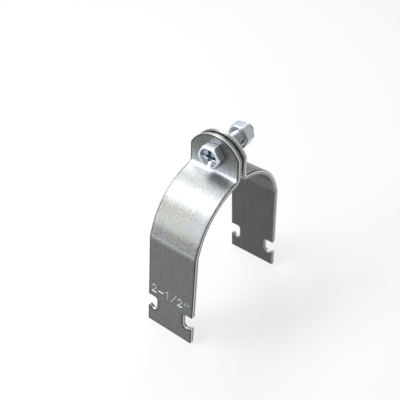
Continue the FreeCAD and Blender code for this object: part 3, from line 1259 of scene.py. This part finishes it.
@dataclass(frozen=True)
class Lamp:
    """Soft strip lamp that faces the clamp, with its sizes in metres."""

    name: str
    place: tuple[float, float, float]
    along: tuple[float, float, float]
    length: float
    width: float
    radiance: float

    def build(self, target: Vector) -> None:
        """Hang the lamp, its length along one direction and its face towards the target.

        Its power is its radiance times pi times its area.

        Args:
            target: point that it faces.
        """
        data = bpy.data.lights.new(self.name, "AREA")
        data.shape = "RECTANGLE"
        data.size, data.size_y = self.length, self.width
        data.energy = self.radiance * math.pi * self.length * self.width
        lamp = bpy.data.objects.new(self.name, data)
        back = (Vector(self.place) - target).normalized()
        side = back.cross(Vector(self.along)).normalized()
        axes = Matrix((side.cross(back), side, back)).transposed().to_4x4()
        lamp.matrix_world = Matrix.Translation(self.place) @ axes
        bpy.context.scene.collection.objects.link(lamp)


@dataclass(frozen=True)
class Studio:
    """Pale floor, soft light and the camera at the photo's viewing angle."""

    floor_colour: str = "f4f4f4"
    floor_half: float = 3000.0
    floor_lines: int = 9
    sky_colour: str = "fdfeff"
    sky_strength: float = 0.18
    sky_lift: float = 0.66
    floor_lift: float = 0.72
    image_pixels: float = 400.0
    focal_pixels: float = 700.0
    sensor: float = 36.0
    camera_place: tuple[float, float, float] = (-246.3, -178.6, 312.5)
    heading: float = math.radians(37.71)
    dip: float = math.radians(38.64)
    roll: float = math.radians(0.81)
    centre_shift: tuple[float, float] = (0.0, 0.9)

    def build_floor(self) -> None:
        """Lay the floor as a square of quads at Z = 0."""
        count = self.floor_lines
        span = np.linspace(-self.floor_half, self.floor_half, count)
        grid = np.stack(np.meshgrid(span, span, [0.0], indexing="ij"), -1).reshape(-1, 3)
        row, column = np.meshgrid(np.arange(count - 1) * count, np.arange(count - 1), indexing="ij")
        here = row + column
        quads = np.stack([here, here + count, here + count + 1, here + 1], -1)
        floor = write_piece("floor", grid, [quads.reshape(-1, 4)])
        material = bpy.data.materials.new("painted_board_matt_white")
        material.use_nodes = True
        tree = material.node_tree
        tree.nodes.clear()
        board = add_node(tree, "ShaderNodeBsdfDiffuse", {"Color": linear(self.floor_colour)})
        white = add_node(tree, "ShaderNodeEmission", {"Color": linear("ffffff"), "Strength": 1.0})
        share = add_node(tree, "ShaderNodeMath", {"operation": "MULTIPLY", 1: self.floor_lift},
                         {0: self.seen(tree)})
        mixed = add_node(tree, "ShaderNodeMixShader", links={0: share.outputs[0], 1: board.outputs[0],
                                                             2: white.outputs[0]})
        add_node(tree, "ShaderNodeOutputMaterial", links={"Surface": mixed.outputs[0]})
        floor.data.materials.append(material)

    def seen(self, tree: bpy.types.NodeTree) -> bpy.types.NodeSocket:
        """Tell rays that show the background from those that only carry its light.

        Args:
            tree: node tree of the floor or the sky.

        Returns:
            Socket that gives 1 for the first kind of ray and 0 for the second.
        """
        path = add_node(tree, "ShaderNodeLightPath")
        direct = add_node(tree, "ShaderNodeMath", {"operation": "MAXIMUM"},
                          {0: path.outputs["Is Camera Ray"], 1: path.outputs["Is Glossy Ray"]})
        every = add_node(tree, "ShaderNodeMath", {"operation": "MAXIMUM"},
                         {0: direct.outputs[0], 1: path.outputs["Is Transmission Ray"]})
        return every.outputs[0]

    def build_sky(self) -> None:
        """Set the plain light that fills the room, and the paler walls that are seen in it."""
        world = bpy.data.worlds.new("plain_room")
        world.use_nodes = True
        tree = world.node_tree
        tree.nodes.clear()
        strength = add_node(tree, "ShaderNodeMath", {"operation": "MULTIPLY_ADD", 1: self.sky_lift,
                                                     2: self.sky_strength}, {0: self.seen(tree)})
        sky = add_node(tree, "ShaderNodeBackground", {"Color": linear(self.sky_colour)},
                       {"Strength": strength.outputs[0]})
        add_node(tree, "ShaderNodeOutputWorld", links={"Surface": sky.outputs[0]})
        bpy.context.scene.world = world

    def build_lamps(self) -> None:
        """Hang three strip lamps in one soft arch behind the clamp."""
        target = Vector((0, 0, 0.08))
        lamps = (
            Lamp("side_lamp", (-0.79, 0.43, 0.37), (0, 0, 1), 0.72, 0.30, 4.9),
            Lamp("key_lamp", (-0.32, 0.41, 0.73), (1, 0, 0.5), 0.46, 0.28, 11.5),
            Lamp("top_lamp", (0.28, 0.41, 0.75), (1, 0, 0), 0.75, 0.28, 5.4),
        )
        for lamp in lamps:
            lamp.build(target)

    def build_camera(self) -> None:
        """Place the camera: its forward line from heading and dip, then its roll."""
        forward = Vector((math.cos(self.dip) * math.cos(self.heading),
                          math.cos(self.dip) * math.sin(self.heading), -math.sin(self.dip)))
        level = forward.cross(Vector((0, 0, 1))).normalized()
        upright = level.cross(forward)
        right = level * math.cos(self.roll) + upright * math.sin(self.roll)
        up = upright * math.cos(self.roll) - level * math.sin(self.roll)
        data = bpy.data.cameras.new("camera")
        data.sensor_width = self.sensor
        data.lens = self.sensor * self.focal_pixels / self.image_pixels
        data.shift_x = -self.centre_shift[0] / self.image_pixels
        data.shift_y = self.centre_shift[1] / self.image_pixels
        data.clip_end = 50.0
        camera = bpy.data.objects.new("camera", data)
        axes = Matrix((right, up, -forward)).transposed().to_4x4()
        camera.matrix_world = Matrix.Translation(Vector(self.camera_place) * MM) @ axes
        bpy.context.scene.collection.objects.link(camera)
        bpy.context.scene.camera = camera

    def build(self) -> None:
        """Set up the whole studio."""
        self.build_floor()
        self.build_sky()
        self.build_lamps()
        self.build_camera()
        bpy.context.scene.view_settings.view_transform = "Standard"


def strap_from_frame(side: Side, node: str, body: str) -> StrapHalf:
    """Take a strap half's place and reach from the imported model.

    Args:
        side: which half it is.
        node: its construction node.
        body: the body that it rides on.

    Returns:
        The strap half.
    """
    mounts = {mount["name"]: mount for mount in frame["record"]["mounts"]}
    joints = {joint["name"]: joint for joint in frame["joints"]}
    seat = mounts["pipe_seat"]
    _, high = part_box(node)
    return StrapHalf(side, node, body,
                     seat_radius=seat["dims"]["r_mm"],
                     pipe_z=seat["pos_m"][2] / MM,
                     screw_z=joints["screw_turn"]["pos_m"][2] / MM,
                     ear_top_z=high.z / MM,
                     half_width=high.y / MM)


def main() -> None:
    """Build the clamp's pieces and the studio round them."""
    logging.basicConfig(level=logging.INFO, format="%(name)s: %(message)s")
    skin, edge, bright = SHEET_ZINC.build(), EDGE_ZINC.build(), FASTENER_ZINC.build()
    halves = (
        (strap_from_frame(Side.SCREW, "strap_half_screw_side", "screw_side_strap"), SizeMark()),
        (strap_from_frame(Side.NUT, "strap_half_nut_side", "nut_side_strap"), None),
    )
    for half, mark in halves:
        half.dress(half.build(mark), skin, edge)
    grid = TurnedGrid(halves[0][0].screw_z)
    low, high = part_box("machine_screw")
    screw = MachineScrew("machine_screw", "screw", grid, low.x / MM, high.x / MM)
    screw.dress(screw.build(), bright)
    low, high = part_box("hex_nut")
    nut = HexNut("hex_nut", "nut", grid, low.x / MM, high.x / MM)
    nut.dress(nut.build(), bright)
    Studio().build()


if __name__ == "__main__":
    main()
